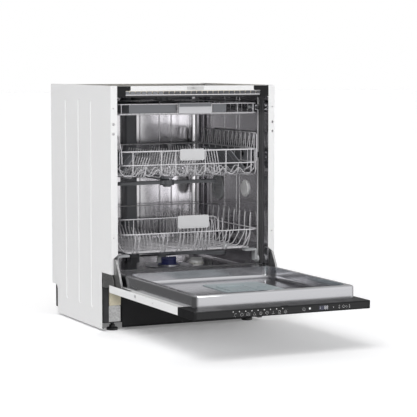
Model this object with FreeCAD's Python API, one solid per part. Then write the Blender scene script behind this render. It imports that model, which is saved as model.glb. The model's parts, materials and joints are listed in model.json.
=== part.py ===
import FreeCAD, Part
import math
import os

# A 60 cm under-counter dishwasher, drawn with its door fully open and its racks in.
# Millimetres, +Z up, +X to the right of someone facing it, +Y into the cabinet.
# While it is drawn, the cabinet's front flange is the plane Y = 0 and the floor is Z = 0.
# Each shape is moved back by FRAME_SHIFT as it is written, so that the origin is the middle
# of the footprint on the floor, with the open door counted in.

# ---- driving dimensions ----
WIDTH = 598.0
HEIGHT = 815.0
DEPTH = 560.0
SHEET = 1.0
HALF = WIDTH / 2

PANEL_FOOT = 8.0            # gap under the side panels
PLINTH_SETBACK = 88.0       # how far the base stands behind the flange
PLINTH_TOP = 199.0          # lower edge of the side panels over the plinth recess
FLANGE = 23.0               # width of the side panels' front flange
RAIL_BOTTOM = 798.0         # lower edge of the top rail

PIVOT_Y = 3.0               # door hinge axis
PIVOT_Z = 169.0
DOOR_LENGTH = 643.6         # hinge axis to the far edge of the open door
DOOR_HALF = 297.5
DOOR_FACE = 137.4           # underside of the open door, which faces the room when shut
DOOR_DECK = 163.2           # upper side of the open outer door
DOOR_HEEL = 23.0            # how far the outer door reaches behind the flange
DOOR_FRONT = PIVOT_Y - DOOR_LENGTH
HOUSING_BACK = -519.6       # rear edge of the control housing
LINER_HALF = 275.0
LINER_TOP = 204.5
LINER_FRONT = -587.6
LINER_REAR = 30.0
PAN_HALF = 258.0
PAN_FLOOR = 166.0

TUB_HALF = 272.0            # inside of the tub
NECK_HALF = 278.5           # inside of the wider neck that takes the door liner
NECK_FRONT = 3.5
NECK_DEPTH = 75.0
NECK_TOP = 783.0
TUB_TOP = 787.0
TUB_BACK = 535.0
TUB_CORNER = 40.0           # radius of the tub's upright corners at the back
SILL_Y = 50.0
LEDGE = 205.5               # track for the lower rack's wheels
TUB_FLOOR = 192.0

ARM_LOWER = (0.0, 272.0)    # centres of the three spray arms, X and Y
ARM_UPPER = (0.0, 225.0)
ARM_CEILING = (0.0, 270.0)

WHEEL_RADIUS = 13.5
WHEEL_ROWS = (62.0, 440.0)  # the lower rack's axles
FOLD_ROW = 140.0            # the folding tine row

FILTER = (0.0, 212.0)       # centre of the filter and sump
SALT = (118.0, 240.0)       # centre of the salt tank's neck
FEET = ((-252.0, 112.0), (252.0, 112.0), (0.0, 500.0))

UPPER_HALF = 248.0           # upper rack: half width, front and back
UPPER_FRONT = 22.0
UPPER_BACK = 488.0
SHELF_X = 227.0              # pivots of the cup shelves
SHELF_Z = 528.0
SHELF_TILT = 50.0            # how far the cup shelves are raised
LOWER_FRONT = 14.0           # front of the lower rack
TRAY_FRONT = 46.0            # front of the cutlery tray
TROUGHS = ((-214.0, -45.0), (91.0, 141.0))

DISPENSER_X = 65.0          # middle of the dispenser in the open door's pan
DISPENSER_Y = -235.0
DISPENSER_HALF_X = 95.0
DISPENSER_HALF_Y = 100.0

WIRE = 2.2                  # radius of the basket frame wires
TINE = 1.5                  # radius of the tines

FRAME_SHIFT = (DOOR_LENGTH - PIVOT_Y - DEPTH) / 2

X_AXIS = FreeCAD.Vector(1, 0, 0)
Y_AXIS = FreeCAD.Vector(0, 1, 0)
Z_AXIS = FreeCAD.Vector(0, 0, 1)


# ---- helpers ----
def vec(x, y, z):
    return FreeCAD.Vector(x, y, z)


def export(name, shape):
    """Write one sub-part, moved so that the origin is the middle of the footprint."""
    moved = shape.copy()
    moved.translate(vec(0, FRAME_SHIFT, 0))
    moved.exportStep("parts/" + name + ".step")


def box(x0, x1, y0, y1, z0, z1):
    """A box from its limits, in any order."""
    low = vec(min(x0, x1), min(y0, y1), min(z0, z1))
    return Part.makeBox(abs(x1 - x0), abs(y1 - y0), abs(z1 - z0), low)


def edges_along(shape, axis, keep=None):
    """The straight edges of a shape that run along an axis and pass a test of their middle."""
    found = []
    for edge in shape.Edges:
        if len(edge.Vertexes) != 2:
            continue
        run = edge.Vertexes[1].Point - edge.Vertexes[0].Point
        if run.Length < 1e-6 or abs(abs(run.normalize().dot(axis)) - 1) > 1e-6:
            continue
        if keep is None or keep(edge.CenterOfMass):
            found.append(edge)
    return found


def rounded(shape, radius, axis, keep=None):
    """The shape with the chosen edges along an axis rounded."""
    return shape.makeFillet(radius, edges_along(shape, axis, keep))


def cylinder(radius, start, end):
    """A solid rod between two points."""
    axis = end - start
    return Part.makeCylinder(radius, axis.Length, start, axis)


def prism_x(points, x0, x1):
    """An outline in the Y-Z plane, extruded along X."""
    corners = [vec(x0, y, z) for y, z in points]
    face = Part.Face(Part.makePolygon(corners + corners[:1]))
    return face.extrude(vec(x1 - x0, 0, 0))


def prism_y(points, y0, y1):
    """An outline in the X-Z plane, extruded along Y."""
    corners = [vec(x, y0, z) for x, z in points]
    face = Part.Face(Part.makePolygon(corners + corners[:1]))
    return face.extrude(vec(0, y1 - y0, 0))


def slot_x(y, z0, z1, width, x0, x1):
    """An upright slot with round ends in the Y-Z plane, extruded along X."""
    radius = width / 2
    low, high = z0 + radius, z1 - radius
    shape = box(x0, x1, y - radius, y + radius, low, high)
    for z in (low, high):
        shape = shape.fuse(cylinder(radius, vec(x0, y, z), vec(x1, y, z)))
    return shape.removeSplitter()


def bent_rod(points, radius, bend):
    """A rod of round section along straight runs that tangent arcs join."""
    points = [vec(*p) for p in points]
    edges = []
    last = points[0]
    for before, corner, after in zip(points, points[1:], points[2:]):
        back = (before - corner).normalize()
        ahead = (after - corner).normalize()
        half_turn = (math.pi - back.getAngle(ahead)) / 2
        reach = bend * math.tan(half_turn)
        start = corner + back * reach
        end = corner + ahead * reach
        inward = (back + ahead).normalize()
        middle = corner + inward * (bend / math.cos(half_turn) - bend)
        if (start - last).Length > 1e-6:
            edges.append(Part.LineSegment(last, start).toShape())
        edges.append(Part.Arc(start, middle, end).toShape())
        last = end
    edges.append(Part.LineSegment(last, points[-1]).toShape())
    path = Part.Wire(edges)
    section = Part.Wire(Part.Circle(points[0], points[1] - points[0], radius).toShape())
    return path.makePipeShell([section], True, False)


def fused(shapes):
    """One solid from several that touch."""
    shapes = list(shapes)
    return shapes[0].fuse(shapes[1:]).removeSplitter()


def group(shapes):
    """Separate solids that share a node."""
    return Part.makeCompound(list(shapes))


SIDES = (-1, 1)


# ---- cabinet ----
def side_panel(side):
    """A folded steel side: outer sheet, front, rear, top and bottom flanges, three pressed ribs."""
    notch_z, notch_y = 108.0, 506.0
    outline = [
        (0, PLINTH_TOP), (0, HEIGHT), (DEPTH, HEIGHT), (DEPTH, notch_z),
        (notch_y, notch_z), (notch_y, PANEL_FOOT),
        (PLINTH_SETBACK - 2, PANEL_FOOT), (PLINTH_SETBACK - 2, PLINTH_TOP),
    ]
    inner = HALF - SHEET
    sheet = prism_x(outline, side * inner, side * HALF)
    sheet = rounded(sheet, 18.0, X_AXIS, lambda c: c.y < notch_y + 1 and abs(c.z - notch_z) < 1)
    flange_in = HALF - FLANGE
    lip = HALF - 8.0
    flange = prism_y([
        (side * flange_in, HEIGHT), (side * HALF, HEIGHT), (side * HALF, PLINTH_TOP),
        (side * lip, PLINTH_TOP), (side * lip, 252.0), (side * flange_in, 264.0),
    ], 0, SHEET)
    fold = HALF - 15.0
    parts = [
        sheet,
        flange,
        box(side * fold, side * HALF, DEPTH - SHEET, DEPTH, notch_z, HEIGHT),
        box(side * fold, side * HALF, 0, DEPTH, HEIGHT - SHEET, HEIGHT),
        box(side * fold, side * HALF, PLINTH_SETBACK - 2, notch_y, PANEL_FOOT, PANEL_FOOT + SHEET),
    ]
    ribs = ((170.0, 26.0), (287.0, 22.0), (406.5, 27.0))
    press = 1.6
    for y, width in ribs:
        parts.append(slot_x(y, 70, 768, width, side * (inner - press), side * inner))
    panel = fused(parts)
    for y, width in ribs:
        recess = slot_x(y, 70 + SHEET, 768 - SHEET, width - 2 * SHEET,
                        side * (HALF - press), side * (HALF + 1))
        panel = panel.cut(recess)
    hole_x = side * 290.0
    for z, radius in ((741, 2.0), (690, 4.5), (659, 4.5), (320, 2.0)):
        panel = panel.cut(cylinder(radius, vec(hole_x, -2, z), vec(hole_x, 4, z)))
    return panel


def top_rails():
    """Two folded cross rails between the side panels; the front one has a raised face strip."""
    reach = HALF - SHEET - 0.5
    top = HEIGHT - SHEET - 0.5
    front = [
        box(-reach, reach, 2, 3, RAIL_BOTTOM, top),
        box(-reach, reach, 2, 42, top - 1, top),
        box(-reach, reach, 2, 22, RAIL_BOTTOM, RAIL_BOTTOM + 1),
        box(-228, 220, 0.2, 2.2, RAIL_BOTTOM, top),
    ]
    rail = fused(front)
    for x in (-180, 180):
        rail = rail.cut(cylinder(3.0, vec(x, 30, top - 5), vec(x, 30, top + 5)))
    rear = [
        box(-reach, reach, DEPTH - 3, DEPTH - 2, 770, top),
        box(-reach, reach, DEPTH - 40, DEPTH - 2, top - 1, top),
    ]
    return group([rail, fused(rear)])


def corner_brackets():
    """Both black corners."""
    return group(corner_bracket(side) for side in SIDES)


def corner_bracket(side):
    """A black moulded corner that closes the gap between rail, side panel and tub."""
    outer = HALF - FLANGE - 0.3
    inner = 228.6 if side < 0 else 220.6
    top = HEIGHT - SHEET - 0.5
    plate = box(side * inner, side * outer, 0.0, 1.8, RAIL_BOTTOM, top)
    plate = rounded(plate, 6.0, Y_AXIS, lambda c: abs(c.x) < inner + 1 and c.z < RAIL_BOTTOM + 1)
    wing = box(side * 246, side * outer, 0.0, 1.8, NECK_TOP - 6, RAIL_BOTTOM + 1)
    rib = box(side * 250, side * outer, 1.8, 3.4, NECK_TOP + 2, RAIL_BOTTOM - 1)
    return fused([plate, wing, rib])


def latch_striker():
    """The striker plate on the rail, with the tongue that the door latch grips."""
    plate = box(-26, 34, -0.9, 0.2, 801, 811)
    plate = rounded(plate, 1.5, Y_AXIS)
    tongue = box(-6, 14, -12, -0.5, 805, 807.5)
    window = box(0, 8, -9.5, -5, 800, 812)
    return plate.fuse(tongue.cut(window)).removeSplitter()


def tub_volume(grow):
    """The space inside the tub, grown on every side by the given thickness."""
    g = grow
    main = box(-TUB_HALF - g, TUB_HALF + g, NECK_DEPTH - g, TUB_BACK + g, LEDGE - g, TUB_TOP + g)
    main = rounded(main, TUB_CORNER + g, Z_AXIS, lambda c: c.y > TUB_BACK - 1)
    front_low = min(SILL_Y, NECK_DEPTH) - g
    neck = box(-NECK_HALF - g, NECK_HALF + g, NECK_FRONT, NECK_DEPTH + 0.5, LEDGE - g, NECK_TOP + g)
    neck = rounded(neck, 22 + g, Y_AXIS, lambda c: c.z > NECK_TOP - 1)
    well = box(-238 - g, 238 + g, front_low + 14, 520 + g, TUB_FLOOR - g, LEDGE + 1)
    well = rounded(well, 34 + g, Z_AXIS)
    well = rounded(well, 6 + g, X_AXIS, lambda c: c.z < TUB_FLOOR + 1)
    return fused([main, neck, well])


def tub():
    """The stainless tub: one skin with a stepped neck, a front sill, wheel ledges and a sump well."""
    skin = tub_volume(SHEET).cut(tub_volume(0))
    hollow_front = box(-NECK_HALF + 0.01, NECK_HALF - 0.01, 0, SILL_Y - SHEET, LEDGE - 5, LEDGE + 0.5)
    skin = skin.cut(hollow_front)
    flange_top = NECK_TOP + SHEET
    parts = [skin]
    low = 172.0
    for side in SIDES:
        parts.append(box(side * NECK_HALF, side * (NECK_HALF + SHEET), NECK_FRONT, SILL_Y, low, LEDGE))
        parts.append(box(side * (NECK_HALF + SHEET - 0.2), side * 292, NECK_FRONT, NECK_FRONT + SHEET,
                         266, RAIL_BOTTOM - 1.5))
    parts.append(box(-NECK_HALF, NECK_HALF, SILL_Y - SHEET, SILL_Y, low, LEDGE))
    parts.append(box(-292, 292, NECK_FRONT, NECK_FRONT + SHEET, flange_top - 0.2, RAIL_BOTTOM - 1.5))
    shell = fused(parts)
    for x in range(-250, 251, 20):
        shell = shell.cut(box(x - 1.5, x + 1.5, 3, 5, 786.5, 795.5))
    for (x, y), radius in ((FILTER, 64), (SALT, 20)):
        shell = shell.cut(cylinder(radius, vec(x, y, 180), vec(x, y, 200)))
    shell = shell.cut(cylinder(40.3, vec(270, 380, 445), vec(276, 380, 445)))
    shell = shell.cut(cylinder(24.3, vec(270, 164, 454), vec(276, 164, 454)))
    shell = shell.cut(cylinder(13.3, vec(0, 500, 785), vec(0, 500, 790)))
    return group(tub_sheets(shell))


def tub_sheets(shell):
    """The tub's sheets along their weld lines: front frame, ledges, back, floor, roof, walls and corners."""
    wall_end, frame_half = TUB_BACK - TUB_CORNER, 262
    front_floor = box(-300, 300, -10, NECK_DEPTH, 150, LEDGE - 3)
    well = box(-300, 300, NECK_DEPTH, 560, 150, LEDGE)
    back = box(-300, 300, TUB_BACK - 2, 560, LEDGE, 830)
    roof = box(-300, 300, NECK_DEPTH, TUB_BACK - 2, NECK_TOP, 830)
    head = box(-frame_half, frame_half, -10, NECK_DEPTH, LEDGE - 3, 830)
    cuts = [front_floor, head, well, back, roof]
    for x0, x1 in ((-300, -frame_half), (frame_half, 300)):
        cuts.append(box(x0, x1, -10, NECK_DEPTH, LEDGE - 3, LEDGE))
        cuts.append(box(x0, x1, -10, NECK_DEPTH, LEDGE, 830))
    for y0, y1 in ((NECK_DEPTH, wall_end), (wall_end, wall_end + 28), (wall_end + 28, TUB_BACK - 2)):
        cuts.append(box(-300, 0, y0, y1, LEDGE, NECK_TOP))
        cuts.append(box(0, 300, y0, y1, LEDGE, NECK_TOP))
    sheets = []
    for cut in cuts:
        sheets += shell.common(cut).Solids
    return [sheet for sheet in sheets if sheet.Volume > 1.0]


def insulation_mats():
    """Mats on the tub's roof, back and sides, and felt strips beside the kick panel."""
    roof = box(-262, 262, 60, 500, TUB_TOP + 1.3, TUB_TOP + 7.3)
    back = box(-230, 230, TUB_BACK + 1.3, TUB_BACK + 7.3, 215, 740)
    sides = [box(-(TUB_HALF + 1.3), -(TUB_HALF + 6.3), 105, 480, 270, 740),
             box(TUB_HALF + 1.3, TUB_HALF + 6.3, 105, 480, 650, 740)]
    felts = [box(side * 230, side * 271, 89, 95.5, 85, 171) for side in SIDES]
    return group([roof, back] + sides + felts)


def door_seals():
    """The rubber hoop in the neck that the closed liner presses, and the lip on the sill."""
    hoop = box(-NECK_HALF + 0.2, NECK_HALF - 0.2, 50, 60, 206.5, NECK_TOP - 0.2)
    hoop = rounded(hoop, 21.8, Y_AXIS, lambda c: c.z > NECK_TOP - 1)
    hole = box(-271.5, 271.5, 49, 61, 200, NECK_TOP - 7)
    hole = rounded(hole, 15, Y_AXIS, lambda c: c.z > NECK_TOP - 10)
    lip = box(-NECK_HALF + 0.2, NECK_HALF - 0.2, 42, 50, 206.5, NECK_TOP - 0.2)
    lip = rounded(lip, 21.8, Y_AXIS, lambda c: c.z > NECK_TOP - 1)
    lip_hole = box(-275, 275, 41, 51, 200, NECK_TOP - 3.7)
    lip_hole = rounded(lip_hole, 18, Y_AXIS, lambda c: c.z > NECK_TOP - 10)
    hoop = hoop.cut(hole).fuse(lip.cut(lip_hole)).removeSplitter()
    sill_lip = prism_x([(48.8, 192), (39.4, 201), (39.4, 203), (48.8, 205)], -272, 272)
    return group([hoop, sill_lip])


def base_tray():
    """The moulded base: a drip tray between corner posts that carries pumps and feet."""
    wall = 3.0
    outer = box(-292, 292, 96, 552, 26, 150)
    outer = rounded(outer, 12, Z_AXIS)
    inner = box(-292 + wall, 292 - wall, 96 + wall, 552 - wall, 26 + wall, 151)
    inner = rounded(inner, 9, Z_AXIS)
    tray = outer.cut(inner)
    parts = [tray]
    for side in SIDES:
        parts.append(box(side * 273, side * 293, PLINTH_SETBACK + 0.5, 112, 30, 176))
        parts.append(box(side * 288, side * 292, 112, 540, 140, 189))
    for x, y in FEET:
        parts.append(cylinder(15, vec(x, y, 26), vec(x, y, 74)))
    parts.append(box(-272, 272, 96, 99, 100, 172))
    base = fused(parts)
    for x, y in FEET:
        base = base.cut(cylinder(6.25, vec(x, y, 20), vec(x, y, 72)))
    base = base.cut(cylinder(13.3, vec(150, 545, 78), vec(150, 560, 78)))
    base = base.cut(cylinder(10.8, vec(-150, 545, 84), vec(-150, 560, 84)))
    return base.cut(box(-41, 1, 545, 560, 57, 93))


def plinth_panel():
    """The black kick panel on the front of the base."""
    panel = box(-226, 226, PLINTH_SETBACK - 1, PLINTH_SETBACK + 1.5, 12, 132)
    fold = box(-226, 226, PLINTH_SETBACK - 6, PLINTH_SETBACK + 1.5, 10, 12.5)
    tabs = [box(side * 170, side * 190, PLINTH_SETBACK + 1.5, 95.8, 60, 110) for side in SIDES]
    return fused([panel, fold] + tabs)


def steel_brackets():
    """The hinge brackets, and the plates that tie the front feet to the base."""
    pieces = []
    for side in SIDES:
        pieces.append(hinge_bracket(side))
        plate = box(side * 230, side * 272, 92, 95.5, 30, 84)
        pieces.append(rounded(plate, 5, Y_AXIS, lambda c: c.z > 80))
    return group(pieces)


def hinge_bracket(side):
    """A steel cheek on the base post, with the pin that the door arm turns on."""
    cheek = prism_x([(-9, 160), (-9, 177), (6, 198), (95, 198), (95, 150), (60, 150), (10, 158)],
                    side * 293.0, side * 296.0)
    pin = cylinder(4.0, vec(side * 281.5, PIVOT_Y, PIVOT_Z), vec(side * 294, PIVOT_Y, PIVOT_Z))
    tab = box(side * 285, side * 294, 92, 95, 177, 198)
    return fused([cheek, pin, tab])


def sump():
    """The moulded sump under the tub, with pump ports and the filter seat."""
    x, y = FILTER
    bowl = cylinder(63.5, vec(x, y, 112), vec(x, y, TUB_FLOOR + 0.1))
    rim = cylinder(72, vec(x, y, TUB_FLOOR - 3.5), vec(x, y, TUB_FLOOR - 1.1))
    hollow = cylinder(60.5, vec(x, y, 115), vec(x, y, TUB_FLOOR + 5))
    spigots = [cylinder(14, vec(x + 50, y, 128), vec(x + 84, y, 128)),
               cylinder(11, vec(x - 50, y, 126), vec(x - 84, y, 126))]
    bores = [cylinder(11, vec(x + 50, y, 128), vec(x + 90, y, 128)),
             cylinder(8.5, vec(x - 50, y, 126), vec(x - 90, y, 126))]
    shell = fused([bowl, rim] + spigots)
    return shell.cut(fused([hollow])).cut(group(bores))


def filter_plate():
    """The flat fine filter that lies over the sump well."""
    x, y = FILTER
    plate = cylinder(84, vec(x, y, TUB_FLOOR + 0.8), vec(x, y, TUB_FLOOR + 2.3))
    plate = plate.cut(cylinder(38, vec(x, y, TUB_FLOOR), vec(x, y, TUB_FLOOR + 5)))
    collar = cylinder(40, vec(x, y, TUB_FLOOR + 0.8), vec(x, y, TUB_FLOOR + 6))
    collar = collar.cut(cylinder(37.4, vec(x, y, TUB_FLOOR), vec(x, y, TUB_FLOOR + 7)))
    plate = plate.fuse(collar)
    # the spray arm's post stands in the plate's rear edge
    return plate.cut(cylinder(19, vec(x, ARM_LOWER[1], 190), vec(x, ARM_LOWER[1], 210)))


def filter_cup():
    """The coarse filter: a basket in the sump with a tall handle above the plate."""
    x, y = FILTER
    cup = cylinder(36.8, vec(x, y, 130), vec(x, y, TUB_FLOOR + 7))
    cup = cup.cut(cylinder(34.5, vec(x, y, 133), vec(x, y, TUB_FLOOR + 12)))
    for turn in range(0, 180, 30):
        window = box(-40, 40, -4, 4, 140, 182)
        window.rotate(vec(0, 0, 0), Z_AXIS, turn)
        window.translate(vec(x, y, 0))
        cup = cup.cut(window)
    stem = cylinder(26, vec(x, y, TUB_FLOOR + 4), vec(x, y, TUB_FLOOR + 24))
    stem = stem.cut(cylinder(22, vec(x, y, TUB_FLOOR), vec(x, y, TUB_FLOOR + 21)))
    ring = cylinder(36, vec(x, y, TUB_FLOOR + 4), vec(x, y, TUB_FLOOR + 7))
    ring = ring.cut(cylinder(23, vec(x, y, TUB_FLOOR), vec(x, y, TUB_FLOOR + 12)))
    grip = box(x - 26, x + 26, y - 4, y + 4, TUB_FLOOR + 22, TUB_FLOOR + 30)
    return fused([cup, ring, stem, grip])


def circulation_pump():
    """The wash pump: a volute on the sump's right spigot and its motor can."""
    x, y = FILTER
    volute = cylinder(42, vec(x + 84.5, y, 104), vec(x + 112, y, 104))
    motor = cylinder(36, vec(x + 112, y, 104), vec(x + 205, y, 104))
    inlet = cylinder(14, vec(x + 84.5, y, 128), vec(x + 86, y, 128))
    return fused([volute, motor, inlet])


def drain_pump():
    """The small drain pump on the sump's left spigot."""
    x, y = FILTER
    head = cylinder(27, vec(x - 84.5, y, 118), vec(x - 108, y, 118))
    motor = cylinder(22, vec(x - 108, y, 118), vec(x - 160, y, 118))
    return fused([head, motor])


def water_softener():
    """The resin and salt tank in the base, whose neck rises through the tub floor."""
    x, y = SALT
    tank = box(x - 50, x + 110, y + 24, y + 190, 60, 172)
    tank = rounded(tank, 14, Z_AXIS)
    shoulder = box(x - 30, x + 30, y - 22, y + 30, 150, 172)
    neck = cylinder(19.6, vec(x, y, 168), vec(x, y, TUB_FLOOR + 3))
    ring = cylinder(27, vec(x, y, TUB_FLOOR + 0.3), vec(x, y, TUB_FLOOR + 3))
    solid = fused([tank, shoulder, neck, ring])
    return solid.cut(cylinder(16, vec(x, y, 154), vec(x, y, TUB_FLOOR + 10)))


def salt_cap():
    """The screw cap of the salt tank, with a grip bar."""
    x, y = SALT
    cap = cylinder(24, vec(x, y, TUB_FLOOR + 3.3), vec(x, y, TUB_FLOOR + 11))
    plug = cylinder(15.6, vec(x, y, TUB_FLOOR - 8), vec(x, y, TUB_FLOOR + 4))
    grip = box(x - 22, x + 22, y - 3, y + 3, TUB_FLOOR + 10, TUB_FLOOR + 19)
    return fused([cap, plug, grip])


def hose_stubs():
    """The inlet stub and the drain spigot at the back of the base; their hoses are left off."""
    stubs = []
    for x, z, radius, bore in ((150, 78, 13.0, 8.0), (-150, 84, 10.5, 8.0)):
        stub = cylinder(radius - 0.5, vec(x, 530, z), vec(x, 554, z))
        stub = stub.fuse(cylinder(radius, vec(x, 553, z), vec(x, DEPTH, z)))
        collar = cylinder(radius + 5, vec(x, 540, z), vec(x, 548.7, z))
        stubs.append(fused([stub, collar]).cut(cylinder(bore, vec(x, 534, z), vec(x, DEPTH + 5, z))))
    return group(stubs)


def mains_inlet():
    """The socket for the mains lead at the back of the base; the lead is left off."""
    shell = box(-40, 0, 528, 559, 58, 92)
    shell = rounded(shell, 4, Y_AXIS)
    return shell.cut(box(-34, -6, 538, 565, 64, 86))


def air_break_chamber():
    """The flat moulded water chamber between the tub wall and the right side panel."""
    chamber = box(278.6, 296, 120, 450, 250, 640)
    chamber = rounded(chamber, 20, X_AXIS)
    ports = [cylinder(38, vec(274.2, 380, 445), vec(279, 380, 445)),
             cylinder(22, vec(274.2, 164, 454), vec(279, 164, 454))]
    return fused([chamber] + ports)


def wall_vent_cap():
    """The white domed cap on the tub wall over the chamber's small port."""
    disc = cylinder(30, vec(271.8, 164, 454), vec(268.8, 164, 454))
    dome = cylinder(26, vec(269, 164, 454), vec(265.6, 164, 454))
    plug = cylinder(24, vec(271.7, 164, 454), vec(274, 164, 454))
    return fused([disc, dome, plug])


def wall_vent_grille():
    """The grey ring and slatted steam vent on the tub wall."""
    ring = cylinder(46, vec(271.8, 380, 445), vec(266.5, 380, 445))
    ring = ring.cut(cylinder(33, vec(270.2, 380, 445), vec(260, 380, 445)))
    plug = cylinder(40, vec(271.7, 380, 445), vec(274, 380, 445))
    slats = [box(267.5, 270.4, 380 - 33.5, 380 + 33.5, 445 + n * 11 - 1.6, 445 + n * 11 + 1.6)
             for n in (-2, -1, 0, 1, 2)]
    return fused([ring, plug] + slats)


def feed_tube():
    """The moulded water duct up the tub's back wall and forward under its roof."""
    up = box(-36, 8, 504, 534.6, 212, 783)
    up = rounded(up, 8, Z_AXIS, lambda c: c.y < 510)
    x, y = ARM_CEILING
    over = box(x - 14, x + 14, y - 16, 520, 779.5, 786.6)
    hub = cylinder(17, vec(x, y, 778), vec(x, y, 786.6))
    port = cylinder(17, vec(0, 504.5, 492), vec(0, 499, 492))
    top_port = cylinder(13, vec(0, 500, 786), vec(0, 500, 787.4))
    post = cylinder(5, vec(x, y, 779), vec(x, y, 757.5))
    cap = cylinder(9, vec(x, y, 758.4), vec(x, y, 755.9))
    foot = box(-30, 2, 475, 512, TUB_FLOOR + 0.3, 213)
    return fused([up, over, hub, port, top_port, post, cap, foot])


def rack_rails():
    """Channel rails on the tub walls: one pair for the upper rack, one for the cutlery tray."""
    rails = []
    for side in SIDES:
        web, lip = side * (TUB_HALF - 0.3), side * 257.0
        for z, height in ((566, 20), (730, 16)):
            back = box(web, web - side * 2, 62, 488, z, z + height)
            floor = box(web, lip, 62, 488, z, z + 2)
            roof = box(web, lip, 62, 488, z + height - 2, z + height)
            edge = box(lip, lip + side * 1.5, 62, 488, z, z + 5)
            edge_high = box(lip, lip + side * 1.5, 62, 488, z + height - 5, z + height)
            stop = box(web, lip, 486, 490, z, z + height)
            rails.append(fused([back, floor, roof, edge, edge_high, stop]))
    return group(rails)


def rack_runners():
    """The sliding members between the upper rack and its rails."""
    runners = []
    for side in SIDES:
        web = box(side * 262, side * 264.2, 70, 470, 569, 583)
        wheels = [cylinder(6.4, vec(side * 264.2, y, 576), vec(side * 268, y, 576)) for y in (96, 270, 440)]
        runners.append(fused([web] + wheels))
    return group(runners)


def foot(x, y):
    """A screw foot: threaded shank in the base boss and a moulded pad on the floor."""
    pad = cylinder(19, vec(x, y, 0), vec(x, y, 9))
    pad = pad.makeFillet(2.0, [e for e in pad.Edges if e.Curve.TypeId == "Part::GeomCircle"])
    hexagon = Part.makePolygon([vec(x + 11 * math.cos(a), y + 11 * math.sin(a), 8.5)
                                for a in (math.radians(60 * n) for n in range(7))])
    nut = Part.Face(hexagon).extrude(vec(0, 0, 9))
    shank = cylinder(6.2, vec(x, y, 16), vec(x, y, 66))
    return fused([pad, nut, shank])


# ---- spray arms ----
def spray_arm(centre, z, half_length, angle, bore):
    """A hollow blade with jets in its top, turning about an upright post."""
    width, height = 34.0, 11.0
    blade = Part.makeBox(2 * half_length, width, height, vec(-half_length, -width / 2, 0))
    blade = rounded(blade, width / 2 - 2, Z_AXIS)
    waist = [Part.makeBox(half_length - 60, 7, height + 2, vec(30, 12, -1)),
             Part.makeBox(half_length - 60, 7, height + 2, vec(30 - half_length, -19, -1))]
    for cut in waist:
        blade = blade.cut(cut)
    hub = cylinder(25, vec(0, 0, -4), vec(0, 0, height + 3))
    arm = blade.fuse(hub)
    top_edges = [e for e in arm.Edges if abs(e.BoundBox.ZMin - height) < 1e-6
                 and abs(e.BoundBox.ZMax - height) < 1e-6 and e.BoundBox.DiagonalLength > 120]
    arm = arm.makeFillet(2.0, top_edges) if top_edges else arm
    spacing = (half_length - 45) / 6
    for step in range(6):
        reach = 40 + spacing * (step + 0.5)
        for sign in (-1, 1):
            x, y = sign * reach, sign * -2
            arm = arm.cut(cylinder(2.2, vec(x, y, height - 4), vec(x, y, 20)))
    arm = arm.cut(cylinder(bore, vec(0, 0, -10), vec(0, 0, 30)))
    arm.rotate(vec(0, 0, 0), Z_AXIS, angle)
    arm.translate(vec(centre[0], centre[1], z))
    return arm


def lower_arm_post():
    """The post that feeds the lower arm, screwed into the tub floor behind the filter."""
    x, y = ARM_LOWER
    base = cylinder(17, vec(x, y, TUB_FLOOR + 0.3), vec(x, y, 219))
    post = cylinder(8.0, vec(x, y, 219), vec(x, y, 246))
    cap = cylinder(16, vec(x, y, 241.5), vec(x, y, 247))
    return fused([base, post, cap])


# ---- door ----
def door_outer_panel():
    """The outer door: a folded steel pan with turned-in upper edges."""
    y0, y1 = HOUSING_BACK, DOOR_HEEL
    pan = box(-DOOR_HALF, DOOR_HALF, y0, y1, DOOR_FACE, DOOR_DECK)
    pan = rounded(pan, 3, Y_AXIS, lambda c: c.z < DOOR_FACE + 1)
    hollow = box(-DOOR_HALF + SHEET, DOOR_HALF - SHEET, y0 + SHEET, y1 - SHEET,
                 DOOR_FACE + SHEET, DOOR_DECK - SHEET)
    mouth = box(-LINER_HALF + 2, LINER_HALF - 2, y0 - 1, y1 - 12, DOOR_DECK - 2, DOOR_DECK + 1)
    pan = pan.cut(hollow).cut(mouth)
    for side in SIDES:
        pan = pan.cut(box(side * 281.5, side * (DOOR_HALF - SHEET), -140, 30, DOOR_DECK - 3, DOOR_DECK + 1))
        pan = pan.cut(box(side * 281.5, side * (DOOR_HALF - SHEET), 10, 30, DOOR_FACE + 2, DOOR_DECK + 1))
        pan = pan.cut(cylinder(2.6, vec(side * 290, -330, 150), vec(side * 300, -330, 150)))
        for y in (-60, -460):
            pan = pan.cut(cylinder(3.0, vec(side * 250, y, 130), vec(side * 250, y, 145)))
    return pan


def door_insulation():
    """The sound and heat mat between the outer door and the liner."""
    mat = box(-262, 262, -505, 0, DOOR_FACE + SHEET + 0.3, 160)
    well = box(-38, 168, -343, -127, 138, 162)
    return mat.cut(well)


def door_liner():
    """The stainless inner door: a rimmed pan that fills the tub's neck when shut."""
    def block(out):
        """The liner's outer form, grown by out."""
        shape = box(-LINER_HALF - out, LINER_HALF + out, LINER_FRONT - out, LINER_REAR + out,
                    DOOR_DECK, LINER_TOP + out)
        shape = rounded(shape, 16 + out, Z_AXIS)
        return shape.makeFillet(7 + out, [e for e in shape.Edges if e.BoundBox.ZMin > LINER_TOP + out - 0.01])

    def pan(out):
        """The sunk pan, grown by out."""
        shape = box(-PAN_HALF - out, PAN_HALF + out, -569 - out, -40 + out, PAN_FLOOR - out, LINER_TOP + 5)
        shape = rounded(shape, 30 + out, Z_AXIS)
        low = [e for e in shape.Edges if e.BoundBox.ZMax < PAN_FLOOR - out + 0.01]
        return shape.makeFillet(12 + out, low)

    solid = block(0).cut(pan(0))
    inside = block(-SHEET).cut(pan(SHEET))
    liner = solid.cut(inside)
    liner = liner.cut(box(-DISPENSER_HALF_X + DISPENSER_X, DISPENSER_HALF_X + DISPENSER_X,
                          DISPENSER_Y - DISPENSER_HALF_Y, DISPENSER_Y + DISPENSER_HALF_Y, 160, 170))
    return liner


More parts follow.
